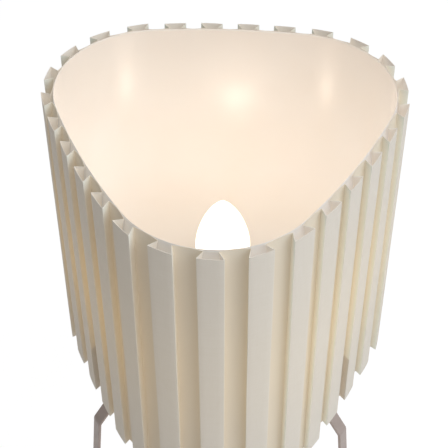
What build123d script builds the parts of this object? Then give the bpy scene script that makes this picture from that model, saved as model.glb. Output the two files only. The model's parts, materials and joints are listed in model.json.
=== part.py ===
"""Table lamp: a pleated cloth shade of rounded triangular plan on three flat bar legs.

Millimetres. The origin is on the floor, on the lamp's upright axis. +Z is up, and one corner of the
shade points to -Y. Directions round the axis are in degrees from that corner, growing towards +X.
"""

import os
from math import atan2, cos, degrees, radians, sin, sqrt

from build123d import *

os.makedirs("parts", exist_ok=True)

# Shade: heights and the plan of the liner's inner face at both edges
lamp_height = 400.0
shade_height = 216.0
corner_count = 3
top_corner_reach = 108.0
top_corner_arc = 59.0
top_side_arc = 430.0
bottom_corner_reach = 116.5
bottom_corner_arc = 64.0
bottom_side_arc = 1200.0
liner_wall = 1.0

# Box pleats of the cover
fold_count = 27
cloth_wall = 0.8
crest_width = 14.3
root_width = 9.0
crest_reach = 6.9
root_lift = 0.7
cover_gap = 0.2

# Legs: flat bar, bent twice
bar_width = 9.6
bar_wall = 2.2
bar_edge = 0.4
bend_radius = 4.0
upright_above_edge = 46.0
knee_below_edge = 13.5
elbow_below_edge = 29.0
elbow_out = 10.8
foot_out = 18.9
upright_gap = 0.2
leg_sides = ("right", "back", "left")

# Feet: end caps pushed over the bars
pad_height = 9.0
pad_sole = 1.6
pad_wall = 1.3
pad_gap = 0.1
pad_corner = 1.0

# Screws of 3 mm, countersunk in the liner and pan headed in the bracket
screw_radius = 1.5
screw_gap = 0.1
sunk_head_radius = 2.7
sunk_head_depth = 0.9
pan_head_radius = 2.8
pan_head_height = 1.8
low_screw_above_edge = 8.0
high_screw_above_edge = 39.0
slot_width = 0.7
slot_depth = 0.5

# Bracket that carries the lamp holder between the legs
plate_wall = 2.0
plate_radius = 17.0
arm_width = 11.0
tab_height = 15.0
tab_screw_drop = 9.0
arm_bend = 3.5

# Hollow nipple, its nut and washer, and the bush that a cord goes through
nipple_radius = 5.0
nipple_bore = 3.9
nipple_up = 6.0
nipple_down = 8.0
thread_gap = 0.05
washer_radius = 9.0
washer_wall = 1.0
nut_flats = 14.0
nut_height = 4.0
bush_bore = 3.1
bush_sleeve = 6.0
bush_flange = 1.8
bush_flange_radius = 5.6
bush_mouth = 0.8

# Lamp holder for a 14 mm screw cap
holder_above_edge = 29.0
holder_radius = 14.0
holder_wall = 1.6
holder_floor = 3.0
base_height = 14.0
skirt_height = 7.0
holder_mouth = 10.2
holder_mouth_wall = 1.8
holder_edge = 1.0
contact_above_underside = 18.0
insert_skirt_height = 4.0
insert_skirt_wall = 0.9
insert_height = 15.0
insert_seat = 5.0
pocket_radius = 5.6
pocket_depth = 7.5
shell_wall = 0.5
shell_height = 18.0
strip_wall = 0.5
strip_width = 4.0
strip_reach = 4.2
terminal_spread = 7.6
terminal_radius = 1.3
terminal_head_radius = 1.9
terminal_head = 1.6
terminal_length = 8.0

# Candle bulb
bulb_length = 100.0
bulb_radius = 17.6
bulb_widest_below_tip = 44.0
bulb_shoulder_below_tip = 20.0
bulb_shoulder_radius = 13.6
neck_radius = 8.2
glass_wall = 0.9
glass_tip_slope = 0.9
cap_radius = 6.95
cap_root_radius = 6.25
cap_wall = 0.5
cap_thread_pitch = 2.82
cap_height = 19.0
cap_thread_land = 0.28
cap_collar_radius = 8.6
cap_collar_height = 2.4
running_gap = 0.1
insulator_height = 3.0
insulator_plug = 1.5
contact_radius = 2.6
contact_height = 1.2
contact_edge = 0.4
contact_stem_radius = 1.0
stem_foot_height = 1.2
stem_shelf_height = 8.0
stem_shelf_edge = 0.4
stem_height = 46.0
stem_rod_radius = 1.6
filament_count = 4
filament_radius = 0.9
filament_length = 32.0
filament_spread = 3.9
board_height = 12.0
board_wall = 1.0

shade_bottom = lamp_height - shade_height
half_corner_angle = 180 / corner_count
half_corner_turn = radians(half_corner_angle)
leg_angles = {side: (2 * place + 1) * half_corner_angle for place, side in enumerate(leg_sides)}


class Plan:
    """A rounded polygon of tangent arcs at one height, with a corner towards -Y."""

    def __init__(self, height, reach, corner_arc, side_arc):
        self.height = height
        self.corner_arc = corner_arc
        self.side_arc = side_arc
        self.corner_centre = reach - corner_arc
        across = self.corner_centre * sin(half_corner_turn)
        along = self.corner_centre * cos(half_corner_turn)
        self.side_centre = sqrt((side_arc - corner_arc) ** 2 - across**2) - along
        self.side_half = atan2(across, along + self.side_centre)
        self.corner_half = half_corner_turn - self.side_half
        self.corner_run = corner_arc * self.corner_half
        self.half_run = self.corner_run + side_arc * self.side_half

    @property
    def side_reach(self):
        """Distance from the axis to the middle of a side."""
        return self.side_arc - self.side_centre

    def spot(self, share, out=0.0, along=0.0):
        """A point at a share of the perimeter, moved outwards and along the outline."""
        corner = round(share * corner_count)
        run = (share * corner_count - corner) * 2 * self.half_run
        side = -1 if run < 0 else 1
        if abs(run) <= self.corner_run:
            angle = abs(run) / self.corner_arc
            centre_out, centre_side, radius = self.corner_centre, 0.0, self.corner_arc
        else:
            angle = self.corner_half + (abs(run) - self.corner_run) / self.side_arc
            centre_out = -self.side_centre * cos(half_corner_turn)
            centre_side = -self.side_centre * sin(half_corner_turn)
            radius = self.side_arc
        ahead = centre_out + (radius + out) * cos(angle) - side * along * sin(angle)
        beside = side * (centre_side + (radius + out) * sin(angle)) + along * cos(angle)
        turn = 2 * half_corner_turn * corner
        return (
            ahead * sin(turn) + beside * cos(turn),
            -ahead * cos(turn) + beside * sin(turn),
        )


top_plan = Plan(lamp_height, top_corner_reach, top_corner_arc, top_side_arc)
bottom_plan = Plan(shade_bottom, bottom_corner_reach, bottom_corner_arc, bottom_side_arc)
plans = (bottom_plan, top_plan)


def wall_reach(height):
    """Distance from the axis to the liner's inner face at the middle of a side."""
    share = (height - shade_bottom) / shade_height
    return bottom_plan.side_reach + share * (top_plan.side_reach - bottom_plan.side_reach)


wall_lean = degrees(atan2(bottom_plan.side_reach - top_plan.side_reach, shade_height))


def draw_plan(plan, out):
    """The smooth outline, as arcs that meet at the corners' ends."""
    corner_share = plan.corner_run / plan.half_run / (2 * corner_count)
    for corner in range(corner_count):
        middle = corner / corner_count
        next_middle = (corner + 1) / corner_count
        for start, end in (
            (middle - corner_share, middle + corner_share),
            (middle + corner_share, next_middle - corner_share),
        ):
            ThreePointArc(
                plan.spot(start, out), plan.spot((start + end) / 2, out), plan.spot(end, out)
            )


valley_reach = liner_wall + cover_gap + cloth_wall
wall_slope = atan2((crest_width - root_width) / 2, crest_reach - valley_reach - root_lift)
cloth_side = cloth_wall * (1 + sin(wall_slope)) / cos(wall_slope)


def draw_folds(plan, inset):
    """The pleats' outline. At inset 0 it is the outer face, and at inset 1 the inner face of the cloth."""
    half_crest = crest_width / 2 - inset * cloth_side
    half_root = root_width / 2 - inset * cloth_side
    crest = crest_reach - inset * cloth_wall
    root = valley_reach + root_lift - inset * cloth_wall
    valley = valley_reach - inset * cloth_wall
    for fold in range(fold_count):
        share = fold / fold_count
        following = (fold + 1) / fold_count
        Polyline(
            plan.spot(share, root, -half_root),
            plan.spot(share, crest, -half_crest),
            plan.spot(share, crest, half_crest),
            plan.spot(share, root, half_root),
        )
        ThreePointArc(
            plan.spot(share, root, half_root),
            plan.spot((share + following) / 2, valley),
            plan.spot(following, root, -half_root),
        )


def radial_plane(angle):
    """Upright plane through the axis: x runs outwards, y runs up."""
    turn = radians(angle)
    return Plane(origin=(0, 0, 0), x_dir=(sin(turn), -cos(turn), 0), z_dir=(-cos(turn), -sin(turn), 0))


def wall_plane(angle, height, out):
    """Plane on the liner at a side's middle, moved out square to it. Its z points outwards."""
    turn = radians(angle)
    lean = radians(wall_lean)
    on_wall = Plane(
        origin=(wall_reach(height) * sin(turn), -wall_reach(height) * cos(turn), height),
        x_dir=(cos(turn), sin(turn), 0),
        z_dir=(sin(turn) * cos(lean), -cos(turn) * cos(lean), sin(lean)),
    )
    return on_wall.offset(out)


def save(piece, name):
    """Labels a finished piece and writes it."""
    piece.part.label = name
    export_step(piece.part, f"parts/{name}.step")


# Heights of the bracket, the lamp holder and the bulb, from the shade's lower edge up
holder_bottom = shade_bottom + holder_above_edge
plate_bottom = holder_bottom - plate_wall
contact_level = holder_bottom + contact_above_underside
bulb_tip = contact_level + bulb_length
screw_heights = (shade_bottom + low_screw_above_edge, shade_bottom + high_screw_above_edge)
tab_screw_height = plate_bottom - tab_screw_drop + plate_wall / 2

# Pleated cover: one sheet of cloth in box pleats, hollow behind every crest
with BuildPart() as pleated_cover:
    for plan in plans:
        with BuildSketch(Plane.XY.offset(plan.height)):
            with BuildLine():
                draw_folds(plan, 0)
            make_face()
    loft(ruled=True)
    for plan in plans:
        with BuildSketch(Plane.XY.offset(plan.height)):
            with BuildLine():
                draw_folds(plan, 1)
            make_face()
    loft(ruled=True, mode=Mode.SUBTRACT)
save(pleated_cover, "pleated_cover")

# Liner: the stiff translucent sheet inside the cover
with BuildPart() as shade_liner:
    for plan in plans:
        with BuildSketch(Plane.XY.offset(plan.height)):
            with BuildLine():
                draw_plan(plan, liner_wall)
            make_face()
    loft(ruled=True)
    for plan in plans:
        with BuildSketch(Plane.XY.offset(plan.height)):
            with BuildLine():
                draw_plan(plan, 0)
            make_face()
    loft(ruled=True, mode=Mode.SUBTRACT)
    for angle in leg_angles.values():
        for height in screw_heights:
            with Locations(wall_plane(angle, height, liner_wall)):
                CounterSinkHole(
                    radius=screw_radius + screw_gap,
                    counter_sink_radius=sunk_head_radius + screw_gap,
                    counter_sink_angle=2 * degrees(atan2(sunk_head_radius - screw_radius, sunk_head_depth)),
                    depth=liner_wall + upright_gap,
                )
save(shade_liner, "shade_liner")


def upright_reach(height):
    """Distance from the axis to the middle of the bar inside the shade."""
    return wall_reach(height) - (upright_gap + bar_wall / 2) / cos(radians(wall_lean))


elbow_reach = bottom_plan.side_reach + elbow_out
foot_reach = elbow_reach + foot_out
knee_height = shade_bottom - knee_below_edge
elbow_height = shade_bottom - elbow_below_edge
upright_top = shade_bottom + upright_above_edge
leg_slope = (foot_reach - elbow_reach) / elbow_height


def shin_reach(height):
    """Distance from the axis to the middle of the bar below the elbow."""
    return elbow_reach + (elbow_height - height) * leg_slope


# Legs: the bar stands beside the liner, steps outwards under its edge and runs down to the floor
for side, angle in leg_angles.items():
    with BuildPart() as leg:
        with BuildSketch(radial_plane(angle)):
            with BuildLine():
                FilletPolyline(
                    (upright_reach(upright_top), upright_top),
                    (upright_reach(knee_height), knee_height),
                    (elbow_reach, elbow_height),
                    (shin_reach(-pad_height), -pad_height),
                    radius=bend_radius,
                )
            trace(line_width=bar_wall)
        extrude(amount=bar_width / 2, both=True)
        split(bisect_by=Plane.XY.offset(pad_sole), keep=Keep.TOP)
        broad_faces = leg.faces().sort_by(Axis(origin=(0, 0, 0), direction=radial_plane(angle).z_dir))
        chamfer(broad_faces[0].edges() + broad_faces[-1].edges(), length=bar_edge)
        for height in (*screw_heights, tab_screw_height):
            with Locations(wall_plane(angle, height, -upright_gap)):
                Hole(radius=screw_radius + thread_gap, depth=bar_wall * 2)
    save(leg, f"leg_{side}")

# Feet: caps with a flat sole, pushed over the ends of the bars
pad_lean = cos(atan2(leg_slope, 1))
for side, angle in leg_angles.items():
    with BuildPart() as foot:
        with BuildSketch(radial_plane(angle)):
            half = (bar_wall / 2 + pad_gap + pad_wall) / pad_lean
            with BuildLine():
                Polyline(
                    (shin_reach(0) - half, 0),
                    (shin_reach(0) + half, 0),
                    (shin_reach(pad_height) + half, pad_height),
                    (shin_reach(pad_height) - half, pad_height),
                    close=True,
                )
            make_face()
        extrude(amount=bar_width / 2 + pad_gap + pad_wall, both=True)
        rising_edges = foot.edges().filter_by(lambda edge: edge.bounding_box().size.Z > pad_height / 2)
        fillet(rising_edges, radius=pad_corner)
        with BuildSketch(radial_plane(angle)):
            half = (bar_wall / 2 + pad_gap) / pad_lean
            with BuildLine():
                Polyline(
                    (shin_reach(pad_sole) - half, pad_sole),
                    (shin_reach(pad_sole) + half, pad_sole),
                    (shin_reach(2 * pad_height) + half, 2 * pad_height),
                    (shin_reach(2 * pad_height) - half, 2 * pad_height),
                    close=True,
                )
            make_face()
        extrude(amount=bar_width / 2 + pad_gap, both=True, mode=Mode.SUBTRACT)
    save(foot, f"foot_{side}")

# Screws through the liner into the legs, heads flush under the cover
with BuildPart() as liner_screws:
    for angle in leg_angles.values():
        for height in screw_heights:
            with BuildSketch(wall_plane(angle, height, liner_wall)):
                Circle(sunk_head_radius)
            with BuildSketch(wall_plane(angle, height, liner_wall - sunk_head_depth)):
                Circle(screw_radius)
            loft()
            with BuildSketch(wall_plane(angle, height, liner_wall - sunk_head_depth)):
                Circle(screw_radius)
            extrude(amount=-(upright_gap + bar_wall + liner_wall - sunk_head_depth))
            with BuildSketch(wall_plane(angle, height, liner_wall)):
                Rectangle(2 * sunk_head_radius, slot_width)
            extrude(amount=-slot_depth, mode=Mode.SUBTRACT)
save(liner_screws, "liner_screws")


def tab_reach(height):
    """Distance from the axis to the middle of a bracket tab, flat against its leg."""
    return upright_reach(height) - (bar_wall + plate_wall) / 2 / cos(radians(wall_lean))


# Bracket: a round plate with three arms, each turned down along a leg
plate_middle = plate_bottom + plate_wall / 2
with BuildPart() as holder_bracket:
    with BuildSketch(Plane.XY.offset(plate_bottom)):
        Circle(plate_radius)
    extrude(amount=plate_wall)
    for angle in leg_angles.values():
        with BuildSketch(radial_plane(angle)):
            with BuildLine():
                FilletPolyline(
                    (nipple_radius, plate_middle),
                    (tab_reach(plate_middle), plate_middle),
                    (tab_reach(plate_bottom - tab_height), plate_bottom - tab_height),
                    radius=arm_bend,
                )
            trace(line_width=plate_wall)
        extrude(amount=arm_width / 2, both=True)
        with Locations(wall_plane(angle, tab_screw_height, -upright_gap - bar_wall)):
            Hole(radius=screw_radius + screw_gap, depth=plate_wall * 2)
    with Locations((0, 0, holder_bottom)):
        Hole(radius=nipple_radius + screw_gap, depth=plate_wall)
save(holder_bracket, "holder_bracket")

# Screws through the bracket's tabs into the legs, heads towards the axis
with BuildPart() as bracket_screws:
    for angle in leg_angles.values():
        head_seat = wall_plane(angle, tab_screw_height, -upright_gap - bar_wall - plate_wall)
        with BuildSketch(head_seat):
            Circle(screw_radius)
        extrude(amount=plate_wall + bar_wall)
        with BuildSketch(head_seat):
            Circle(pan_head_radius)
        extrude(amount=-pan_head_height)
        with BuildSketch(head_seat.offset(-pan_head_height)):
            Rectangle(2 * pan_head_radius, slot_width)
        extrude(amount=slot_depth, mode=Mode.SUBTRACT)
save(bracket_screws, "bracket_screws")

# Hollow nipple that clamps the lamp holder to the bracket
nipple_bottom = plate_bottom - nipple_down
with BuildPart() as threaded_nipple:
    with BuildSketch(Plane.XY.offset(nipple_bottom)):
        Circle(nipple_radius)
        Circle(nipple_bore, mode=Mode.SUBTRACT)
    extrude(amount=nipple_down + plate_wall + nipple_up)
save(threaded_nipple, "threaded_nipple")

with BuildPart() as lock_washer:
    with BuildSketch(Plane.XY.offset(plate_bottom - washer_wall)):
        Circle(washer_radius)
        Circle(nipple_radius + screw_gap, mode=Mode.SUBTRACT)
    extrude(amount=washer_wall)
save(lock_washer, "lock_washer")

with BuildPart() as nipple_nut:
    with BuildSketch(Plane.XY.offset(plate_bottom - washer_wall - nut_height)):
        RegularPolygon(nut_flats / 2, 6, major_radius=False)
        Circle(nipple_radius + thread_gap, mode=Mode.SUBTRACT)
    extrude(amount=nut_height)
save(nipple_nut, "nipple_nut")

# Bush at the nipple's lower end, with a rounded mouth for a cord
with BuildPart() as cord_bush:
    with BuildSketch(Plane.XY.offset(nipple_bottom - bush_flange)):
        Circle(bush_flange_radius)
    extrude(amount=bush_flange)
    with BuildSketch(Plane.XY.offset(nipple_bottom)):
        Circle(nipple_bore - thread_gap)
    extrude(amount=bush_sleeve)
    with Locations((0, 0, nipple_bottom)):
        Hole(radius=bush_bore)
    lowest_edges = cord_bush.edges().filter_by(GeomType.CIRCLE).group_by(Axis.Z)[0]
    fillet(lowest_edges.sort_by(SortBy.RADIUS)[0], radius=bush_mouth)
save(cord_bush, "cord_bush")

# Lamp holder: a cup, a sleeve pushed into it, an insulating insert and the contacts
base_top = holder_bottom + base_height
cup_bore = holder_radius - holder_wall
cup_floor = holder_bottom + holder_floor
with BuildPart() as holder_base:
    with BuildSketch(Plane.XZ):
        Polygon(
            (nipple_radius + thread_gap, holder_bottom),
            (holder_radius, holder_bottom),
            (holder_radius, base_top),
            (cup_bore, base_top),
            (cup_bore, cup_floor),
            (nipple_radius + thread_gap, cup_floor),
            align=None,
        )
    revolve(axis=Axis.Z)
    lowest_edges = holder_base.edges().filter_by(GeomType.CIRCLE).group_by(Axis.Z)[0]
    fillet(lowest_edges.sort_by(SortBy.RADIUS)[-1], radius=holder_edge)
save(holder_base, "holder_base")

skirt_radius = cup_bore - thread_gap
skirt_bore = skirt_radius - holder_wall
skirt_bottom = base_top - skirt_height
cap_bottom = contact_level + insulator_height
cap_top = cap_bottom + cap_height
sleeve_top = cap_top + cap_collar_height
mouth_bottom = sleeve_top - holder_mouth_wall
with BuildPart() as holder_shell:
    with BuildSketch(Plane.XZ):
        Polygon(
            (skirt_bore, skirt_bottom),
            (skirt_radius, skirt_bottom),
            (skirt_radius, base_top),
            (holder_radius, base_top),
            (holder_radius, sleeve_top),
            (holder_mouth, sleeve_top),
            (holder_mouth, mouth_bottom),
            (cup_bore, mouth_bottom),
            (cup_bore, base_top + holder_wall),
            (skirt_bore, base_top + holder_wall),
            align=None,
        )
    revolve(axis=Axis.Z)
    highest_edges = holder_shell.edges().filter_by(GeomType.CIRCLE).group_by(Axis.Z)[-1]
    fillet(highest_edges.sort_by(SortBy.RADIUS)[-1], radius=holder_edge)
save(holder_shell, "holder_shell")

insert_bottom = cup_floor + insert_skirt_height
insert_top = insert_bottom + insert_height
insert_radius = skirt_bore - thread_gap
shell_bore = cap_radius + running_gap
shell_bottom = insert_top - insert_seat
shell_outside = shell_bore + shell_wall
pocket_floor = shell_bottom - pocket_depth
terminal_spots = [(-terminal_spread, 0), (terminal_spread, 0)]
with BuildPart() as holder_insert:
    with BuildSketch(Plane.XY.offset(cup_floor)):
        Circle(insert_radius)
    extrude(amount=insert_skirt_height + insert_height)
    with BuildSketch(Plane.XY.offset(cup_floor)):
        Circle(insert_radius - insert_skirt_wall)
    extrude(amount=insert_skirt_height, mode=Mode.SUBTRACT)
    with BuildSketch(Plane.XY.offset(insert_top)):
        Circle(shell_outside + thread_gap)
    extrude(amount=-insert_seat, mode=Mode.SUBTRACT)
    with BuildSketch(Plane.XY.offset(pocket_floor)):
        Circle(pocket_radius)
    extrude(amount=pocket_depth, mode=Mode.SUBTRACT)
    with BuildSketch(Plane.XY.offset(insert_bottom)):
        with Locations(*terminal_spots):
            Circle(terminal_radius + thread_gap)
    extrude(amount=terminal_length, mode=Mode.SUBTRACT)
save(holder_insert, "holder_insert")

with BuildPart() as screw_shell:
    with BuildSketch(Plane.XY.offset(shell_bottom)):
        Circle(shell_outside)
        Circle(shell_bore, mode=Mode.SUBTRACT)
    extrude(amount=shell_height)
save(screw_shell, "screw_shell")

# Centre contact: a strip whose tongue rises to the bulb's own contact
strip_foot = pocket_floor + strip_wall / 2
tongue_top = contact_level - strip_wall / 2
with BuildPart() as centre_contact:
    with BuildSketch(Plane.XZ):
        with BuildLine():
            FilletPolyline(
                (-strip_reach, strip_foot),
                (strip_reach, strip_foot),
                (strip_reach, (strip_foot + tongue_top) / 2),
                (contact_stem_radius, tongue_top),
                (-contact_stem_radius, tongue_top),
                radius=strip_wall,
            )
        trace(line_width=strip_wall)
    extrude(amount=strip_width / 2, both=True)
save(centre_contact, "centre_contact")

# Terminal screws under the insert
with BuildPart() as terminal_screws:
    with BuildSketch(Plane.XY.offset(insert_bottom)):
        with Locations(*terminal_spots):
            Circle(terminal_head_radius)
    extrude(amount=-terminal_head)
    with BuildSketch(Plane.XY.offset(insert_bottom)):
        with Locations(*terminal_spots):
            Circle(terminal_radius)
    extrude(amount=terminal_length)
    with BuildSketch(Plane.XY.offset(insert_bottom - terminal_head)):
        with Locations(*terminal_spots):
            Rectangle(2 * terminal_head_radius, slot_width)
    extrude(amount=slot_depth, mode=Mode.SUBTRACT)
save(terminal_screws, "terminal_screws")

# Bulb: glass, stem, light strips, screw cap, driver board, insulator and centre contact
widest = bulb_tip - bulb_widest_below_tip
shoulder = bulb_tip - bulb_shoulder_below_tip
neck_top = cap_top + cap_collar_height / 2


def draw_glass(inset):
    """Half the candle's outline, moved inwards by inset and closed along the axis."""
    side_curve = Spline(
        (0, bulb_tip - inset),
        (bulb_shoulder_radius - inset, shoulder),
        (bulb_radius - inset, widest),
        (neck_radius - inset, neck_top),
        tangents=((1, -glass_tip_slope), (0, -1)),
    )
    Polyline(side_curve @ 1, (0, neck_top), side_curve @ 0)


with BuildPart() as bulb_glass:
    with BuildSketch(Plane.XZ):
        with BuildLine():
            draw_glass(0)
        make_face()
    revolve(axis=Axis.Z)
    with BuildSketch(Plane.XZ):
        with BuildLine():
            draw_glass(glass_wall)
        make_face()
    revolve(axis=Axis.Z, mode=Mode.SUBTRACT)
save(bulb_glass, "bulb_glass")

stem_foot_radius = neck_radius - glass_wall - thread_gap
shelf_radius = filament_spread + filament_radius + stem_shelf_edge
shelf = neck_top + stem_shelf_height
with BuildPart() as bulb_stem:
    with BuildSketch(Plane.XZ):
        Polygon(
            (0, neck_top),
            (stem_foot_radius, neck_top),
            (stem_foot_radius, neck_top + stem_foot_height),
            (shelf_radius, shelf),
            (stem_rod_radius, shelf),
            (stem_rod_radius, neck_top + stem_height),
            (0, neck_top + stem_height),
            align=None,
        )
    revolve(axis=Axis.Z)
save(bulb_stem, "bulb_stem")

with BuildPart() as led_filaments:
    with BuildSketch(Plane.XY.offset(shelf)):
        with PolarLocations(filament_spread, filament_count):
            Circle(filament_radius)
    extrude(amount=filament_length)
save(led_filaments, "led_filaments")

cap_bore = cap_root_radius - cap_wall
ridge_half = cap_thread_pitch / 2 - cap_thread_land
with BuildPart() as bulb_cap:
    with BuildSketch(Plane.XZ):
        Polygon(
            (cap_bore, cap_bottom),
            (cap_root_radius, cap_bottom),
            (cap_root_radius, cap_top),
            (cap_collar_radius, cap_top),
            (cap_collar_radius, sleeve_top),
            (neck_radius + thread_gap, sleeve_top),
            (neck_radius + thread_gap, neck_top),
            (cap_bore, neck_top),
            align=None,
        )
    revolve(axis=Axis.Z)
    thread_path = Helix(
        pitch=cap_thread_pitch,
        height=cap_height - 2 * cap_thread_pitch,
        radius=cap_root_radius,
        center=(0, 0, cap_bottom + cap_thread_pitch / 2),
    )
    with BuildSketch(Plane(thread_path @ 0, x_dir=(1, 0, 0), z_dir=thread_path % 0)):
        Polygon(
            (-cap_wall / 2, -ridge_half),
            (0, -ridge_half),
            (cap_radius - cap_root_radius, 0),
            (0, ridge_half),
            (-cap_wall / 2, ridge_half),
            align=None,
        )
    sweep(path=thread_path, is_frenet=True)
save(bulb_cap, "bulb_cap")

contact_top = contact_level + contact_height
plug_top = cap_bottom + insulator_plug
with BuildPart() as bulb_insulator:
    with BuildSketch(Plane.XZ):
        Polygon(
            (contact_stem_radius + thread_gap, contact_top),
            (contact_radius, contact_top),
            (cap_root_radius, cap_bottom),
            (cap_bore - thread_gap, cap_bottom),
            (cap_bore - thread_gap, plug_top),
            (contact_stem_radius + thread_gap, plug_top),
            align=None,
        )
    revolve(axis=Axis.Z)
save(bulb_insulator, "bulb_insulator")

with BuildPart() as bulb_contact:
    with BuildSketch(Plane.XY.offset(contact_level)):
        Circle(contact_radius)
    extrude(amount=contact_height)
    fillet(bulb_contact.edges().group_by(Axis.Z)[0], radius=contact_edge)
    with BuildSketch(Plane.XY.offset(contact_top)):
        Circle(contact_stem_radius)
    extrude(amount=plug_top - contact_top)
save(bulb_contact, "bulb_contact")

board_half = sqrt((cap_bore - thread_gap) ** 2 - (board_wall / 2) ** 2)
with BuildPart() as driver_board:
    with BuildSketch(Plane.XY.offset(plug_top)):
        Rectangle(2 * board_half, board_wall)
    extrude(amount=board_height)
save(driver_board, "driver_board")
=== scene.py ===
"""Looks of the pleated table lamp: cloth cover, finishes, lit bulb, floor, soft studio light and camera.

Metres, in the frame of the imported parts: +Z up, one corner of the shade towards -Y.
"""

import json
import random
from math import atan2, cos, hypot, pi, radians, sin, sqrt

import bpy
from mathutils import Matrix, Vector


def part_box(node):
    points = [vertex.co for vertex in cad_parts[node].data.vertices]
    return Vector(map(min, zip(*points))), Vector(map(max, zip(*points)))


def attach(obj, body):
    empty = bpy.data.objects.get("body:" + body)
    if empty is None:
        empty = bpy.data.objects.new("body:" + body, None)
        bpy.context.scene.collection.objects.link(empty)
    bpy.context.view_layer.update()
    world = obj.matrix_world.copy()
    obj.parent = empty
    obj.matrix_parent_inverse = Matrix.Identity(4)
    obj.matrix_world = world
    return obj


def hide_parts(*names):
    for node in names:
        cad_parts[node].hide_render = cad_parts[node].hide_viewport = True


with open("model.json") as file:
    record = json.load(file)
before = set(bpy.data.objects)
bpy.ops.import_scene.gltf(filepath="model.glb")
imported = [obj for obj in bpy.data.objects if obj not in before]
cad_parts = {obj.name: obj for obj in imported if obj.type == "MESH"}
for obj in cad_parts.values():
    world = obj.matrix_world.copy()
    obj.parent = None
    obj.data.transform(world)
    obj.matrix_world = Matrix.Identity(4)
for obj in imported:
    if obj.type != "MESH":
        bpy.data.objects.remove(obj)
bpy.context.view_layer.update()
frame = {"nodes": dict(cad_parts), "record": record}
nodes = frame["nodes"]
DICE_SEED = 27
dice = random.Random(DICE_SEED)

# Shade: the plan of the liner's inner face at both edges
CORNER_COUNT = 3
TOP_CORNER_REACH = 0.108
TOP_CORNER_ARC = 0.059
TOP_SIDE_ARC = 0.430
BOTTOM_CORNER_REACH = 0.1165
BOTTOM_CORNER_ARC = 0.064
BOTTOM_SIDE_ARC = 1.200
LINER_WALL = 0.001
LINER_RIM_WALL = 0.0002
LINER_EDGE_RADIUS = 0.00008
LINER_STEPS = 324
SHARP_ANGLE = radians(50)

# Box pleats: widths of a crest and at its roots, and reaches outwards from the liner's inner face
FOLD_COUNT = 27
CREST_WIDTH = 0.0143
ROOT_WIDTH = 0.0104
CREST_REACH = 0.0069
CREST_BULGE = 0.00022
ROOT_LIFT = 0.0009
VALLEY_REACH = 0.0013

# The cloth's thickness, and the least cosine that it is divided by where the sheet turns
CLOTH_WALL = 0.00025
MITRE_LEAST = 0.5

# Creases: their radius, the most of a face that one takes up, and how far from one a valley's arc ends
CREASE_RADIUS = 0.00022
CREASE_MOST = 0.4
CREASE_SHARE = 0.08

# Steps of the cover's mesh: round a crease, along a valley, across a flat face and up the shade
CREASE_STEPS = 3
VALLEY_STEPS = 8
FLAT_STEPS = 4
LEVEL_COUNT = 30

# The upper edge, where the pleats are pinched at their roots and the liner is thinner. The mesh's rows
# there lie at shares of its depth
RIM_ROOT_WIDTH = 0.0078
RIM_DEPTH = 0.014
RIM_ROWS = (0.12, 0.3, 0.55)

# Unevenness of the pressed folds: how far crests stray, and the waves up the height, with their number
CREST_SHIFT = 0.00012
CREST_SWELL = 0.00008
CREST_TWIST = 0.0005
WAVE_SHARE = 0.4
WAVE_TURNS = (0.6, 2.2)

# The bulb's warm light through the cloth, and how much of it comes through a crest
BULB_GLOW = Vector((1.0, 0.68, 0.24)) * 0.125
GLOW_CREST_SHARE = 0.85

# The leg's painted shadow, a dark band where a leg behind the cloth cuts off the painted glow: its middle
# and half width in folds from a corner, and half the height over which its upper edge fades
LEG_SIDES = ("right", "back", "left")
LEG_FOLD_PLACE = 4.875
LEG_FOLD_REACH = 0.36
LEG_EDGE_BLUR = 0.0006

# The daylight through the pleats' walls: where it comes from, its least share all round, its least share
# at the rim, and the share of it that a wall's root gets
DAYLIGHT = Vector((0.085, 0.145, 0.155))
DAYLIGHT_TURN = radians(75)
DAY_LEAST = 0.1
RIM_DAY_SHARE = 1.0
WALL_ROOT_SHARE = 0.4

# The light in the hollows between cloth and liner, and the liner's own light, warmer low down
HOLLOW_LIGHT = Vector((0.078, 0.081, 0.083))
HOLLOW_DAYLIGHT = Vector((0.056, 0.054, 0.058))
LINER_LIGHT = Vector((0.188, 0.160, 0.138))
LINER_LOW_LIGHT = Vector((0.265, 0.186, 0.110))
LINER_LOW_RISE = 0.45

shade_low, shade_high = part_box("pleated_cover")
shade_bottom = shade_low.z
shade_top = shade_high.z
shade_height = shade_top - shade_bottom
leg_top = max(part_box(f"leg_{side}")[1].z for side in LEG_SIDES)
bulb_low, bulb_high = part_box("bulb_glass")
bulb_middle = (bulb_low.z + bulb_high.z) / 2
half_corner_turn = pi / CORNER_COUNT


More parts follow.
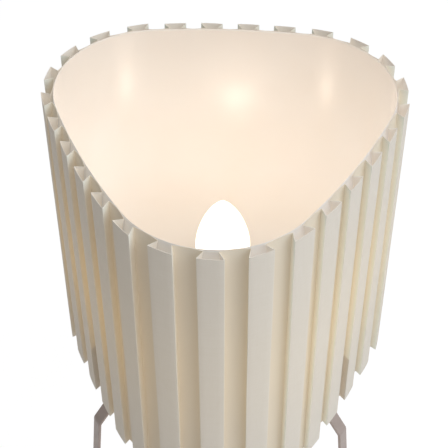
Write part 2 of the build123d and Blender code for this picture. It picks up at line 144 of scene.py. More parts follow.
class Plan:
    """A rounded polygon of tangent arcs at one height, with a corner towards -Y."""

    def __init__(self, reach, corner_arc, side_arc):
        self.corner_arc = corner_arc
        self.side_arc = side_arc
        self.corner_centre = reach - corner_arc
        across = self.corner_centre * sin(half_corner_turn)
        along = self.corner_centre * cos(half_corner_turn)
        self.side_centre = sqrt((side_arc - corner_arc) ** 2 - across**2) - along
        self.side_half = atan2(across, along + self.side_centre)
        self.corner_half = half_corner_turn - self.side_half
        self.corner_run = corner_arc * self.corner_half
        self.half_run = self.corner_run + side_arc * self.side_half

    def spot(self, share, out=0.0, along=0.0):
        """A point at a share of the perimeter, moved outwards and along the outline."""
        corner = round(share * CORNER_COUNT)
        run = (share * CORNER_COUNT - corner) * 2 * self.half_run
        side = -1 if run < 0 else 1
        if abs(run) <= self.corner_run:
            angle = abs(run) / self.corner_arc
            centre_out, centre_side, radius = self.corner_centre, 0.0, self.corner_arc
        else:
            angle = self.corner_half + (abs(run) - self.corner_run) / self.side_arc
            centre_out = -self.side_centre * cos(half_corner_turn)
            centre_side = -self.side_centre * sin(half_corner_turn)
            radius = self.side_arc
        ahead = centre_out + (radius + out) * cos(angle) - side * along * sin(angle)
        beside = side * (centre_side + (radius + out) * sin(angle)) + along * cos(angle)
        turn = 2 * half_corner_turn * corner
        return Vector(
            (ahead * sin(turn) + beside * cos(turn), -ahead * cos(turn) + beside * sin(turn))
        )


top_plan = Plan(TOP_CORNER_REACH, TOP_CORNER_ARC, TOP_SIDE_ARC)
bottom_plan = Plan(BOTTOM_CORNER_REACH, BOTTOM_CORNER_ARC, BOTTOM_SIDE_ARC)


def mesh_object(name, points, faces):
    """A mesh object in the scene, smooth but for its sharp edges."""
    mesh = bpy.data.meshes.new(name)
    mesh.from_pydata(points, [], faces)
    mesh.shade_smooth()
    mesh.set_sharp_from_angle(angle=SHARP_ANGLE)
    mesh.update()
    made = bpy.data.objects.new(name, mesh)
    bpy.context.scene.collection.objects.link(made)
    return made


def arc_through(start, middle, end, steps):
    """Points on the circle through three points, without the two ends."""
    a, b = middle - start, end - start
    cross = 2 * (a.x * b.y - a.y * b.x)
    across = b.y * a.length_squared - a.y * b.length_squared
    along = a.x * b.length_squared - b.x * a.length_squared
    centre = start + Vector((across, along)) / cross
    first, last = start - centre, end - centre
    sweep = atan2(first.x * last.y - first.y * last.x, first.dot(last))
    found = []
    for step in range(1, steps):
        turn = sweep * step / steps
        x = first.x * cos(turn) - first.y * sin(turn)
        y = first.x * sin(turn) + first.y * cos(turn)
        found.append(centre + Vector((x, y)))
    return found


def rounded(before, corner, after):
    """A crease: the points of a small arc between two faces of the cloth."""
    back = (before - corner).normalized()
    ahead = (after - corner).normalized()
    half = back.angle(ahead) / 2
    cut = min(CREASE_RADIUS / abs(sin(half) / cos(half)), CREASE_MOST * (before - corner).length)
    start, end = corner + back * cut, corner + ahead * cut
    middle = corner + (back + ahead).normalized() * (cut / cos(half) - cut * sin(half) / cos(half))
    return [start, *arc_through(start, middle, end, CREASE_STEPS), end]


def rim_share(rise):
    """1 at the shade's upper edge, falling smoothly to 0 at the rim's depth below it."""
    below = (1 - rise) * shade_height / RIM_DEPTH
    return max(0.0, 1 - below) ** 2


def fade(start, end, share):
    """The value at a share of the way from start to end."""
    return start + (end - start) * share


def bulged(start, end):
    """Points of a crest's slightly bulged face, without its two ends."""
    chord = end - start
    middle = (start + end) / 2 + Vector((chord.y, -chord.x)).normalized() * CREST_BULGE
    return arc_through(start, middle, end, FLAT_STEPS)


def wall_line(start, end):
    """Points of a pleat's flat wall between two creases, with their depths and wall shares."""
    found = []
    for step in range(1, FLAT_STEPS):
        across = step / FLAT_STEPS
        point = start[0].lerp(end[0], across)
        found.append((point, fade(start[1], end[1], across), fade(start[2], end[2], across)))
    return found


class Fold:
    """One pleat's own unevenness, so that no two are alike."""

    def __init__(self):
        self.lean = [dice.uniform(-1, 1) for _ in range(2)]
        self.swell = [dice.uniform(-1, 1) for _ in range(2)]
        self.turn = [dice.uniform(-1, 1) for _ in range(2)]
        self.wave = [(dice.uniform(*WAVE_TURNS), dice.uniform(0, 2 * pi)) for _ in range(2)]

    def shift(self, rise):
        """How far along the outline and outwards the crest lies off its place, at a share of the height."""
        along = self.lean[0] * (1 - rise) + self.lean[1] * rise
        along += WAVE_SHARE * sin(2 * pi * self.wave[0][0] * rise + self.wave[0][1])
        out = self.swell[0] * (1 - rise) + self.swell[1] * rise
        out += WAVE_SHARE * sin(2 * pi * self.wave[1][0] * rise + self.wave[1][1])
        return CREST_SHIFT * along, CREST_SWELL * out

    def twist(self, rise):
        """Half of how far the crest's right edge stands out past its left one, at a share of the height."""
        return CREST_TWIST * fade(self.turn[0], self.turn[1], rise)


def crease_line(points, depth, wall_before, wall_after):
    """The points of a crease, each with its depth and how much it belongs to a pleat's wall."""
    last = len(points) - 1
    walls = [fade(wall_before, wall_after, step / last) for step in range(len(points))]
    return [(point, depth, wall) for point, wall in zip(points, walls)]


def fold_line(plan, folds, rise):
    """The cloth's outer face at one height: points, each with its depth (1 in a valley) and wall share."""
    line = []
    rim = rim_share(rise)
    half_root = fade(ROOT_WIDTH, RIM_ROOT_WIDTH, rim) / 2
    valley_out = VALLEY_REACH - fade(0, LINER_WALL - LINER_RIM_WALL, rim)
    root_out = valley_out + ROOT_LIFT
    for fold in range(FOLD_COUNT):
        share, following = fold / FOLD_COUNT, (fold + 1) / FOLD_COUNT
        along, out = folds[fold].shift(rise)
        twist = folds[fold].twist(rise)
        previous_valley = plan.spot((fold - 0.5) / FOLD_COUNT, valley_out)
        root = plan.spot(share, root_out, -half_root)
        crest_out = CREST_REACH - CREST_BULGE + out
        left = plan.spot(share, crest_out - twist, -CREST_WIDTH / 2 + along)
        right = plan.spot(share, crest_out + twist, CREST_WIDTH / 2 + along)
        end_root = plan.spot(share, root_out, half_root)
        valley = plan.spot((share + following) / 2, valley_out)
        next_root = plan.spot(following, root_out, -half_root)
        root_crease = crease_line(rounded(previous_valley, root, left), 1.0, 0.0, WALL_ROOT_SHARE)
        left_crease = crease_line(rounded(root, left, right), 0.0, 1.0, 0.0)
        right_crease = crease_line(rounded(left, right, end_root), 0.0, 0.0, 1.0)
        end_crease = crease_line(rounded(right, end_root, valley), 1.0, WALL_ROOT_SHARE, 0.0)
        line += [*root_crease, *wall_line(root_crease[-1], left_crease[0]), *left_crease]
        line += [(point, 0.0, 0.0) for point in bulged(left_crease[-1][0], right_crease[0][0])]
        line += [*right_crease, *wall_line(right_crease[-1], end_crease[0]), *end_crease]
        nearly_there = next_root.lerp(valley, CREASE_SHARE)
        floor_points = arc_through(end_crease[-1][0], valley, nearly_there, VALLEY_STEPS)
        line += [(point, 1.0, 0.0) for point in floor_points]
    return line


def inner_line(points):
    """The cloth's inner face: the same points moved in by the cloth's thickness."""
    count = len(points)
    moved = []
    for place, point in enumerate(points):
        back = (point - points[place - 1]).normalized()
        ahead = (points[(place + 1) % count] - point).normalized()
        run = (back + ahead).normalized()
        inward = Vector((-run.y, run.x))
        moved.append(point + inward * CLOTH_WALL / max(run.dot(ahead), MITRE_LEAST))
    return moved


def levels():
    """Heights of the mesh's rows, closer at the rim and where the legs' tops cut off the light."""
    even = [step / LEVEL_COUNT for step in range(LEVEL_COUNT + 1)]
    edge = (leg_top - shade_bottom) / shade_height
    blur = LEG_EDGE_BLUR / shade_height
    kept = [rise for rise in even if abs(rise - edge) > 2 * blur]
    rim_rows = [1 - share * RIM_DEPTH / shade_height for share in RIM_ROWS]
    return sorted([*kept, *rim_rows, edge - blur, edge + blur])


def bulb_share(point, depth):
    """How much of the bulb's light comes through: 1 in a valley beside it, less with distance and slant."""
    out = hypot(point.x, point.y)
    away = hypot(out, point.z - bulb_middle)
    nearest = top_plan.side_arc - top_plan.side_centre
    fall = (out / away) ** 3 * (nearest / out) ** 2
    return fall * (GLOW_CREST_SHARE + (1 - GLOW_CREST_SHARE) * depth)


def behind_leg(share, height):
    """1 where a leg stands behind the cloth and its painted shadow falls, else 0."""
    folds_from_corner = share * FOLD_COUNT % (FOLD_COUNT / CORNER_COUNT)
    beside = abs(folds_from_corner - LEG_FOLD_PLACE) >= LEG_FOLD_REACH
    return 0.0 if beside or height >= leg_top else 1.0


def day_share(share):
    """How much daylight meets the shade at a share of the perimeter: 1 straight on."""
    outwards = top_plan.spot(share, 1.0) - top_plan.spot(share)
    return max(DAY_LEAST, cos(atan2(outwards.x, -outwards.y) - DAYLIGHT_TURN))


def hollow_light(share):
    """The soft light between the cloth and the liner, at a share of the perimeter."""
    return HOLLOW_LIGHT + HOLLOW_DAYLIGHT * day_share(share)


def set_numbers(piece, name, numbers):
    """Stores one number a point, for a material to read."""
    piece.data.attributes.new(name, "FLOAT", "POINT").data.foreach_set("value", numbers)


def set_light(piece, colours):
    """Stores the colour of the light that each point gives off, for a material to read."""
    flat = [part for colour in colours for part in (*colour, 1.0)]
    piece.data.attributes.new("light", "FLOAT_COLOR", "POINT").data.foreach_set("color", flat)


def ring_faces(row_count, count):
    """Quads between rows of count points each, where each row is a closed ring."""
    faces = []
    for row in range(row_count - 1):
        for place in range(count):
            following = (place + 1) % count
            low, high = row * count, (row + 1) * count
            faces.append((low + place, low + following, high + following, high + place))
    return faces


def make_cover():
    """The cloth cover: a pleated sheet with thickness, as a closed mesh of rings that run down inside.

    A share of the perimeter is counted in points here, of which every fold has as many.
    """
    folds = [Fold() for _ in range(FOLD_COUNT)]
    outer_rows, inner_rows = [], []
    for rise in levels():
        low = fold_line(bottom_plan, folds, rise)
        high = fold_line(top_plan, folds, rise)
        outer = [start[0].lerp(end[0], rise) for start, end in zip(low, high)]
        outer_rows.append((outer, rise, low, False))
        inner_rows.append((inner_line(outer), rise, low, True))
    points, runs, depths, light = [], [], [], []
    rows = [*outer_rows, *reversed(inner_rows)]
    for line, rise, marks, inside in rows:
        height = shade_bottom + rise * shade_height
        run = 0.0
        for place, (spot, (_, depth, wall)) in enumerate(zip(line, marks)):
            run += (spot - line[place - 1]).length if place else 0.0
            points.append(Vector((spot.x, spot.y, height)))
            runs.append(run)
            depths.append(depth)
            share = place / len(line)
            if inside:
                light.append(hollow_light(share))
            else:
                warm = bulb_share(points[-1], depth)
                day = wall * max(day_share(share), RIM_DAY_SHARE * rim_share(rise))
                # painted light through the cloth, with the leg's painted shadow cut out of it
                light.append((BULB_GLOW * warm + DAYLIGHT * day) * (1 - behind_leg(share, height)))
    count = len(rows[0][0])
    faces = ring_faces(len(rows), count)
    last = (len(rows) - 1) * count
    for place in range(count):
        following = (place + 1) % count
        faces.append((last + place, last + following, following, place))
    made = mesh_object("cloth_cover", points, faces)
    set_numbers(made, "run", runs)
    set_numbers(made, "depth", depths)
    set_light(made, light)
    return made, max(runs)


def liner_section():
    """The liner's section, from its lower inner corner over the top to its lower outer one.

    Each entry says how far out it lies, its share of the height and whether it is on the outer face.
    """
    edge = LINER_EDGE_RADIUS
    rim_edge = edge / shade_height
    rim_rises = [1 - share * RIM_DEPTH / shade_height for share in (1.0, *reversed(RIM_ROWS))]
    inner_rises = [rim_edge, LINER_LOW_RISE, *rim_rises, 1 - rim_edge]
    inner = [(edge, 0.0), *((0.0, rise) for rise in inner_rises), (edge, 1.0)]
    outer = [(LINER_WALL - edge, 0.0), (LINER_WALL, rim_edge)]
    outer += [(fade(LINER_WALL, LINER_RIM_WALL, rim_share(rise)), rise) for rise in rim_rises]
    outer += [(LINER_RIM_WALL, 1 - rim_edge), (LINER_RIM_WALL - edge, 1.0)]
    return [(*spot, False) for spot in inner] + [(*spot, True) for spot in reversed(outer)]


def make_liner():
    """The stiff sheet inside the cover, as a closed ring with a thin upper edge."""
    section = liner_section()
    points, light = [], []
    for out, rise, outside in section:
        height = shade_bottom + rise * shade_height
        inner_light = LINER_LOW_LIGHT.lerp(LINER_LIGHT, min(1.0, rise / LINER_LOW_RISE))
        for step in range(LINER_STEPS):
            share = step / LINER_STEPS
            spot = bottom_plan.spot(share, out).lerp(top_plan.spot(share, out), rise)
            points.append(Vector((spot.x, spot.y, height)))
            light.append(hollow_light(share) if outside else inner_light)
    faces = [tuple(reversed(face)) for face in ring_faces(len(section), LINER_STEPS)]
    last = (len(section) - 1) * LINER_STEPS
    for step in range(LINER_STEPS):
        following = (step + 1) % LINER_STEPS
        faces.append((step, following, last + following, last + step))
    made = mesh_object("liner_sheet", points, faces)
    set_light(made, light)
    return made


cover, cloth_length = make_cover()
liner = make_liner()

# Noise: how many finer layers it has, and the range that most of its values lie in
NOISE_DETAIL = 3.0
NOISE_MIDDLE = (0.3, 0.7)

# A Mix node has a share and a pair of inputs for each kind of value: these are the ones for colours
MIX_COLOUR_INPUTS = (0, 6, 7)
MIX_COLOUR_OUTPUT = 2


class Finish:
    """A procedural material built round one Principled shader."""

    def __init__(self, name, roughness=0.5, metallic=0.0):
        self.material = bpy.data.materials.new(name)
        self.material.use_nodes = True
        self.tree = self.material.node_tree
        self.shader = self.tree.nodes["Principled BSDF"]
        self.shader.inputs["Roughness"].default_value = roughness
        self.shader.inputs["Metallic"].default_value = metallic
        self.place = self.node("ShaderNodeTexCoord").outputs["Object"]

    def node(self, kind, **settings):
        """A new node with its settings."""
        made = self.tree.nodes.new(kind)
        for name, value in settings.items():
            setattr(made, name, value)
        return made

    def link(self, start, end):
        """Joins two sockets."""
        self.tree.links.new(start, end)

    def put(self, name, value):
        """Sets one of the shader's own sockets."""
        self.shader.inputs[name].default_value = value
        return self

    def noise(self, size, stretch=(1, 1, 1)):
        """Noise whose features are about size across, drawn out along an axis by stretch."""
        scaled = self.node("ShaderNodeMapping")
        scaled.inputs["Scale"].default_value = [1 / part for part in stretch]
        self.link(self.place, scaled.inputs["Vector"])
        made = self.node("ShaderNodeTexNoise")
        made.inputs["Scale"].default_value = 1 / size
        made.inputs["Detail"].default_value = NOISE_DETAIL
        self.link(scaled.outputs["Vector"], made.inputs["Vector"])
        return made.outputs["Fac"]

    def spread(self, value, low, high):
        """A noise's middle range stretched to run from low to high."""
        made = self.node("ShaderNodeMapRange")
        middle_low, middle_high = NOISE_MIDDLE
        made.inputs["From Min"].default_value = middle_low
        made.inputs["From Max"].default_value = middle_high
        made.inputs["To Min"].default_value = low
        made.inputs["To Max"].default_value = high
        self.link(value, made.inputs["Value"])
        return made.outputs["Result"]

    def blend(self, share, first, second):
        """Mixes two colours, or an earlier colour and a new one, by share."""
        made = self.node("ShaderNodeMix", data_type="RGBA")
        share_socket, first_socket, second_socket = (made.inputs[place] for place in MIX_COLOUR_INPUTS)
        for socket, colour in ((first_socket, first), (second_socket, second)):
            if isinstance(colour, tuple):
                socket.default_value = (*colour, 1)
            else:
                self.link(colour, socket)
        self.link(share, share_socket)
        return made.outputs[MIX_COLOUR_OUTPUT]

    def mottle(self, value, pale, dark):
        """Two colours mixed by a noise."""
        return self.blend(self.spread(value, 0.0, 1.0), pale, dark)

    def colour(self, value, name="Base Color"):
        """Links a colour to one of the shader's sockets."""
        self.link(value, self.shader.inputs[name])
        return self

    def rough(self, value, low, high):
        """Lets the roughness follow a noise."""
        self.link(self.spread(value, low, high), self.shader.inputs["Roughness"])
        return self

    def bump(self, value, depth, strength):
        """Raises the surface by up to depth metres where value is high, on top of earlier bumps."""
        made = self.node("ShaderNodeBump")
        made.inputs["Strength"].default_value = strength
        made.inputs["Distance"].default_value = depth
        self.link(value, made.inputs["Height"])
        earlier = self.shader.inputs["Normal"].links
        if earlier:
            self.link(earlier[0].from_socket, made.inputs["Normal"])
        self.link(made.outputs["Normal"], self.shader.inputs["Normal"])
        return self

    def maths(self, operation, first, second=None):
        """The result of a sum on numbers or earlier results."""
        made = self.node("ShaderNodeMath", operation=operation)
        for socket, value in zip(made.inputs, (first, second)):
            if isinstance(value, (int, float)):
                socket.default_value = value
            elif value is not None:
                self.link(value, socket)
        return made.outputs[0]

    def attribute(self, name):
        """Reads numbers or colours that are stored in the mesh."""
        return self.node("ShaderNodeAttribute", attribute_name=name)

    def own_light(self):
        """Gives off the light that is stored in the mesh."""
        self.colour(self.attribute("light").outputs["Color"], "Emission Color")
        return self.put("Emission Strength", 1.0)


# Cloth: warm patches in a pale weave, and painted shade in the valleys: a darker, warmer colour where the
# folds are deep
CLOTH_PALE = (0.90, 0.825, 0.725)
CLOTH_WARM = (0.87, 0.79, 0.68)
CLOTH_VALLEY_SHADE = (0.85, 0.745, 0.60)
VALLEY_SHADE_SHARE = 0.8
CLOTH_ROUGHNESS = (0.78, 0.92)
THREAD_PITCH = 0.00045
THREAD_DEPTH = 0.00002
SLUB_SIZE = 0.0012
SLUB_STRETCH = 8
SLUB_DEPTH = 0.00004
SLUB_TONE_SHARE = 0.7
CLOUD_TONE_SHARE = 0.3
CLOTH_CLOUD_SIZE = 0.05
CLOTH_BUMP = 0.2


def cloth_finish():
    """Plain woven off-white cloth, with painted shade in its valleys and the bulb's warm light coming
    through it.
    """
    finish = Finish("cloth")
    finish.put("Specular IOR Level", 0.25).put("Sheen Weight", 0.15).put("Sheen Roughness", 0.5)
    along = finish.attribute("run").outputs["Fac"]
    height = finish.node("ShaderNodeSeparateXYZ")
    finish.link(finish.place, height.inputs["Vector"])
    threads = []
    for direction in (along, height.outputs["Z"]):
        wave = finish.maths("SINE", finish.maths("MULTIPLY", direction, 2 * pi / THREAD_PITCH))
        threads.append(wave)
    weave = finish.maths("MULTIPLY", threads[0], threads[1])
    slub = finish.noise(SLUB_SIZE, stretch=(1, 1, SLUB_STRETCH))
    cross_slub = finish.noise(SLUB_SIZE, stretch=(SLUB_STRETCH, SLUB_STRETCH, 1))
    slubs = finish.maths("MULTIPLY", finish.maths("ADD", slub, cross_slub), 0.5)
    cloud = finish.noise(CLOTH_CLOUD_SIZE)
    slub_tone = finish.maths("MULTIPLY", slubs, SLUB_TONE_SHARE)
    tone = finish.maths("ADD", slub_tone, finish.maths("MULTIPLY", cloud, CLOUD_TONE_SHARE))
    colour = finish.mottle(tone, CLOTH_PALE, CLOTH_WARM)
    # painted shade: the cloth's colour darkens and warms towards the valleys' depths
    valley_shade = finish.maths("MULTIPLY", finish.attribute("depth").outputs["Fac"], VALLEY_SHADE_SHARE)
    finish.colour(finish.blend(valley_shade, colour, CLOTH_VALLEY_SHADE))
    finish.rough(slubs, *CLOTH_ROUGHNESS)
    finish.bump(weave, THREAD_DEPTH, CLOTH_BUMP)
    finish.bump(slubs, SLUB_DEPTH, CLOTH_BUMP)
    return finish.own_light().material


# Liner: a faint mottle, and a fine grain that makes its reflections soft
LINER_PALE = (0.90, 0.865, 0.81)
LINER_WARM = (0.88, 0.835, 0.77)
LINER_ROUGHNESS = (0.20, 0.25)
LINER_CLOUD_SIZE = 0.06
LINER_PATCH_SIZE = 0.004
LINER_GRAIN_SIZE = 0.0006
LINER_GRAIN_DEPTH = 0.000008


def liner_finish():
    """Translucent satin sheet: very slightly mottled."""
    finish = Finish("liner")
    patches = finish.noise(LINER_PATCH_SIZE)
    finish.colour(finish.mottle(finish.noise(LINER_CLOUD_SIZE), LINER_PALE, LINER_WARM))
    finish.rough(patches, *LINER_ROUGHNESS)
    finish.bump(finish.noise(LINER_GRAIN_SIZE), LINER_GRAIN_DEPTH, strength=0.3)
    return finish.own_light().material


# Sizes of the patches, marks and grain of the other finishes, and depths of their bumps
PAINT_PATCH_SIZE = 0.012
PAINT_SHEEN_SIZE = 0.003
PEEL_DEPTH = 0.00002
METAL_PATCH_SIZE = 0.004
METAL_MARK_SIZE = 0.0004
METAL_MARK_DEPTH = 0.000006
MOULDED_PATCH_SIZE = 0.006
MOULDED_SHEEN_GRAINS = 3
GLOW_PATCH_SIZE = 0.008
GLOW_GRAIN_SIZE = 0.0015
GLOW_GRAIN_DEPTH = 0.000006
GLOW_DARK_SHARE = 0.97
GLOW_DIM_SHARE = 0.94
STREAK_SIZE = 0.002
STREAK_DEPTH = 0.00002
STEM_PALE = (0.93, 0.95, 0.95)
STEM_DARK = (0.88, 0.91, 0.91)


def paint_finish(name, pale, dark, low, high, peel):
    """Paint or powder coat: a faint orange peel and small changes of tone."""
    finish = Finish(name)
    finish.colour(finish.mottle(finish.noise(PAINT_PATCH_SIZE), pale, dark))
    finish.rough(finish.noise(PAINT_SHEEN_SIZE), low, high)
    finish.bump(finish.noise(peel), PEEL_DEPTH, strength=0.4)
    return finish.material


def metal_finish(name, pale, dark, low, high, stretch=(1, 1, 1)):
    """Bare or plated metal with fine drawn marks."""
    finish = Finish(name, metallic=1.0)
    marks = finish.noise(METAL_MARK_SIZE, stretch=stretch)
    finish.colour(finish.mottle(finish.noise(METAL_PATCH_SIZE), pale, dark))
    finish.rough(marks, low, high)
    finish.bump(marks, METAL_MARK_DEPTH, strength=0.4)
    return finish.material


def moulded_finish(name, pale, dark, low, high, grain, depth):
    """Plastic, rubber or ceramic with a fine grain."""
    finish = Finish(name)
    finish.colour(finish.mottle(finish.noise(MOULDED_PATCH_SIZE), pale, dark))
    finish.rough(finish.noise(grain * MOULDED_SHEEN_GRAINS), low, high)
    finish.bump(finish.noise(grain), depth, strength=0.5)
    return finish.material


def glowing_finish(name, colour, light, strength, roughness):
    """A surface that gives light: slightly mottled, as opal glass or phosphor is."""
    finish = Finish(name, roughness=roughness)
    patches = finish.noise(GLOW_PATCH_SIZE)
    dark = tuple(GLOW_DARK_SHARE * part for part in colour)
    dim = tuple(GLOW_DIM_SHARE * part for part in light)
    finish.colour(finish.mottle(patches, colour, dark))
    finish.colour(finish.mottle(patches, light, dim), "Emission Color")
    finish.put("Emission Strength", strength)
    finish.bump(finish.noise(GLOW_GRAIN_SIZE), GLOW_GRAIN_DEPTH, strength=0.3)
    return finish.material


def clear_glass_finish():
    """Clear glass of the stem, with faint drawn streaks."""
    finish = Finish("stem_glass")
    finish.put("Transmission Weight", 0.9).put("IOR", 1.5)
    streak = finish.noise(STREAK_SIZE, stretch=(1, 1, 6))
    finish.colour(finish.mottle(streak, STEM_PALE, STEM_DARK))
    finish.rough(streak, low=0.03, high=0.08)
    finish.bump(streak, STREAK_DEPTH, strength=0.3)
    return finish.material


# The lit bulb: its glass, its filaments and the light of its hot core, a share of the way up the glass
BULB_LIGHT = (1.0, 0.83, 0.68)
BULB_STRENGTH = 1.6
FILAMENT_LIGHT = (1.0, 0.72, 0.35)
FILAMENT_STRENGTH = 4.0
CORE_POWER = 0.025
CORE_RADIUS = 0.008
CORE_RISE = 0.25

# How far marks are drawn out round a turned metal piece
TURNED = (8, 8, 1)

# One finish for each material slot: its pale and dark colour, then its lowest and highest roughness
materials = {
    "cloth": cloth_finish(),
    "liner": liner_finish(),
    "leg_paint": paint_finish(
        "leg_paint", (0.56, 0.45, 0.40), (0.50, 0.405, 0.355), 0.42, 0.56, peel=0.0009
    ),
    "foot_rubber": moulded_finish(
        "foot_rubber", (0.10, 0.09, 0.085), (0.07, 0.063, 0.06), 0.7, 0.85, grain=0.0005, depth=0.00003
    ),
    "screw_steel": metal_finish("screw_steel", (0.62, 0.62, 0.61), (0.50, 0.50, 0.50), 0.25, 0.45),
    "bracket_steel": paint_finish(
        "bracket_steel", (0.78, 0.77, 0.74), (0.73, 0.72, 0.69), 0.45, 0.6, peel=0.0007
    ),
    "nipple_brass": metal_finish(
        "nipple_brass", (0.72, 0.58, 0.32), (0.60, 0.47, 0.25), 0.25, 0.4, stretch=TURNED
    ),
    "bush_plastic": moulded_finish(
        "bush_plastic", (0.80, 0.79, 0.76), (0.74, 0.73, 0.70), 0.45, 0.6, grain=0.0006, depth=0.00001
    ),
    "holder_plastic": moulded_finish(
        "holder_plastic", (0.82, 0.81, 0.78), (0.77, 0.76, 0.73), 0.28, 0.4, grain=0.0008, depth=0.000008
    ),
    "holder_ceramic": moulded_finish(
        "holder_ceramic", (0.80, 0.77, 0.70), (0.70, 0.67, 0.60), 0.6, 0.8, grain=0.0005, depth=0.00003
    ),
    "shell_brass": metal_finish(
        "shell_brass", (0.74, 0.60, 0.33), (0.62, 0.49, 0.26), 0.2, 0.38, stretch=TURNED
    ),
    "bulb_opal": glowing_finish(
        "bulb_opal", (0.92, 0.90, 0.86), BULB_LIGHT, BULB_STRENGTH, roughness=0.2
    ),
    "stem_glass": clear_glass_finish(),
    "filament": glowing_finish(
        "filament", (0.86, 0.62, 0.16), FILAMENT_LIGHT, FILAMENT_STRENGTH, roughness=0.6
    ),
    "cap_nickel": metal_finish(
        "cap_nickel", (0.70, 0.69, 0.66), (0.58, 0.57, 0.55), 0.18, 0.34, stretch=(6, 6, 1)
    ),
    "board": moulded_finish(
        "board", (0.05, 0.22, 0.10), (0.04, 0.17, 0.08), 0.3, 0.5, grain=0.0008, depth=0.00002
    ),
    "cap_glass": moulded_finish(
        "cap_glass", (0.05, 0.05, 0.06), (0.03, 0.03, 0.04), 0.12, 0.25, grain=0.001, depth=0.00001
    ),
    "contact_tin": metal_finish("contact_tin", (0.66, 0.65, 0.62), (0.54, 0.53, 0.50), 0.3, 0.5),
}


def paint(piece, slot_name):
    """Gives every material slot of a piece one finish."""
    if not piece.material_slots:
        piece.data.materials.append(materials[slot_name])
    for place in piece.material_slots:
        place.material = materials[slot_name]


for subpart in frame["record"]["subparts"]:
    paint(nodes[subpart["node"]], subpart["material_slot"])

paint(cover, "cloth")
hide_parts("pleated_cover")
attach(cover, "lamp")

paint(liner, "liner")
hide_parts("shade_liner")
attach(liner, "lamp")

# Studio: the floor shows mostly its own light, so that it looks white but keeps the lamp's shadow
FLOOR_SIZE = 6.0
FLOOR_ALBEDO = 0.80
FLOOR_OWN_LIGHT = 1.12
FLOOR_LIGHT_SHARE = 0.84
AMBIENT = 0.24
LAMP_DISTANCE = 2.2

# Camera, as worked out from the photograph's rim and pleats. The turn is from +Y towards -X
IMAGE_WIDTH = 448
FOCAL_PIXELS = 921.2
SENSOR_WIDTH = 36.0
CAMERA_SPOT = (0.0224, -0.4181, 0.7279)
CAMERA_DOWN = radians(44.94)
CAMERA_TURN = radians(2.96)


def seen_directly(tree):
    """1 for rays from the camera, from a mirror-like surface or through glass."""
    path = tree.nodes.new("ShaderNodeLightPath")
    seen = path.outputs["Is Camera Ray"]
    for name in ("Is Glossy Ray", "Is Transmission Ray"):
        larger = tree.nodes.new("ShaderNodeMath")
        larger.operation = "MAXIMUM"
        tree.links.new(seen, larger.inputs[0])
        tree.links.new(path.outputs[name], larger.inputs[1])
        seen = larger.outputs[0]
    return seen


def make_floor():
    """A plain pale floor that looks white where no shadow falls."""
    half = FLOOR_SIZE / 2
    corners = [(-half, -half, 0), (half, -half, 0), (half, half, 0), (-half, half, 0)]
    floor = mesh_object("floor", corners, [(0, 1, 2, 3)])
    material = bpy.data.materials.new("floor")
    material.use_nodes = True
    tree = material.node_tree
    tree.nodes.clear()
    own_light = tree.nodes.new("ShaderNodeEmission")
    own_light.inputs["Strength"].default_value = FLOOR_OWN_LIGHT
    surface = tree.nodes.new("ShaderNodeBsdfDiffuse")
    surface.inputs["Color"].default_value = (FLOOR_ALBEDO, FLOOR_ALBEDO, FLOOR_ALBEDO, 1)
    share = tree.nodes.new("ShaderNodeMath")
    share.operation = "MULTIPLY"
    share.inputs[1].default_value = FLOOR_LIGHT_SHARE
    tree.links.new(seen_directly(tree), share.inputs[0])
    mix = tree.nodes.new("ShaderNodeMixShader")
    tree.links.new(share.outputs[0], mix.inputs[0])
    tree.links.new(surface.outputs[0], mix.inputs[1])
    tree.links.new(own_light.outputs[0], mix.inputs[2])
    output = tree.nodes.new("ShaderNodeOutputMaterial")
    tree.links.new(mix.outputs[0], output.inputs["Surface"])
    floor.data.materials.append(material)


def make_world():
    """White behind the lamp, and a softer even light on it."""
    world = bpy.data.worlds.new("studio")
    bpy.context.scene.world = world
    world.use_nodes = True
    tree = world.node_tree
    tree.nodes.clear()
    backgrounds = []
    for strength in (AMBIENT, 1.0):
        background = tree.nodes.new("ShaderNodeBackground")
        background.inputs["Color"].default_value = (1, 1, 1, 1)
        background.inputs["Strength"].default_value = strength
        backgrounds.append(background)
    mix = tree.nodes.new("ShaderNodeMixShader")
    tree.links.new(seen_directly(tree), mix.inputs[0])
    tree.links.new(backgrounds[0].outputs[0], mix.inputs[1])
    tree.links.new(backgrounds[1].outputs[0], mix.inputs[2])
    output = tree.nodes.new("ShaderNodeOutputWorld")
    tree.links.new(mix.outputs[0], output.inputs["Surface"])


def make_lamp(name, turn, rise, size, power, tint):
    """A large soft light aimed at the shade. turn is in degrees from -Y towards +X, rise above level."""
    light = bpy.data.lights.new(name, "AREA")
    light.shape = "SQUARE"
    light.size = size
    light.energy = power
    light.color = tint
    made = bpy.data.objects.new(name, light)
    bpy.context.scene.collection.objects.link(made)
    aim = Vector((0, 0, (shade_bottom + shade_top) / 2))
    flat, up = LAMP_DISTANCE * cos(radians(rise)), LAMP_DISTANCE * sin(radians(rise))
    away = Vector((flat * sin(radians(turn)), -flat * cos(radians(turn)), up))
    made.location = aim + away
    made.rotation_euler = (-away).to_track_quat("-Z", "Y").to_euler()
    return made


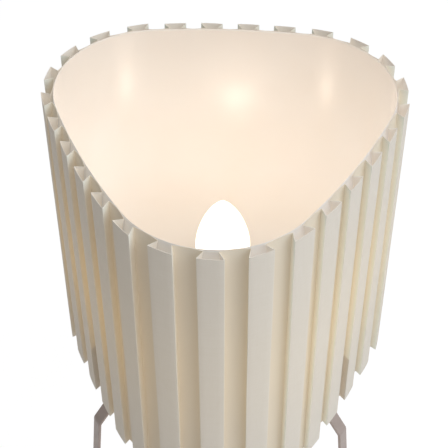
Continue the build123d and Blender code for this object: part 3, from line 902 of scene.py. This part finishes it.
def left_out(name, pieces):
    """A collection that tells a light to leave out some pieces."""
    made = bpy.data.collections.new(name)
    for piece in pieces:
        made.objects.link(piece)
    for place in made.collection_objects:
        place.light_linking.link_state = "EXCLUDE"
    return made


def spare(light, pieces):
    """Keeps a light off some pieces."""
    light.light_linking.receiver_collection = left_out(f"{light.name}_receivers", pieces)


def make_bulb_core():
    """The hot core of the lit bulb, whose light the opal glass lets through."""
    light = bpy.data.lights.new("bulb_core", "POINT")
    light.energy = CORE_POWER
    light.shadow_soft_size = CORE_RADIUS
    light.color = BULB_LIGHT
    made = bpy.data.objects.new("bulb_core", light)
    bpy.context.scene.collection.objects.link(made)
    middle = (bulb_low + bulb_high) / 2
    made.location = (middle.x, middle.y, fade(bulb_low.z, bulb_high.z, CORE_RISE))
    bodies = frame["record"]["behaviour"]["bodies"]
    bulb_pieces = [nodes[name] for name in (*bodies["bulb"], *bodies["bulb_lift"])]
    made.light_linking.receiver_collection = left_out("bulb_core_receivers", bulb_pieces)
    made.light_linking.blocker_collection = left_out("bulb_core_blockers", bulb_pieces)


def make_camera():
    """The photograph's camera: looking down on the lamp's front corner."""
    camera = bpy.data.cameras.new("camera")
    camera.sensor_width = SENSOR_WIDTH
    camera.lens = SENSOR_WIDTH * FOCAL_PIXELS / IMAGE_WIDTH
    made = bpy.data.objects.new("camera", camera)
    bpy.context.scene.collection.objects.link(made)
    made.location = CAMERA_SPOT
    made.rotation_euler = (pi / 2 - CAMERA_DOWN, 0, CAMERA_TURN)
    bpy.context.scene.camera = made


make_floor()
make_world()
key = make_lamp("key", turn=51, rise=28, size=1.8, power=11.2, tint=(0.95, 1.0, 1.06))
make_lamp("side", turn=72, rise=44, size=1.2, power=10.0, tint=(0.91, 1.0, 1.10))
overhead = make_lamp("overhead", turn=20, rise=80, size=1.4, power=14.0, tint=(1.0, 1.0, 1.0))
spare(key, [liner])
spare(overhead, [nodes[f"leg_{side}"] for side in LEG_SIDES])
make_bulb_core()
make_camera()
bpy.context.scene.view_settings.view_transform = "Standard"
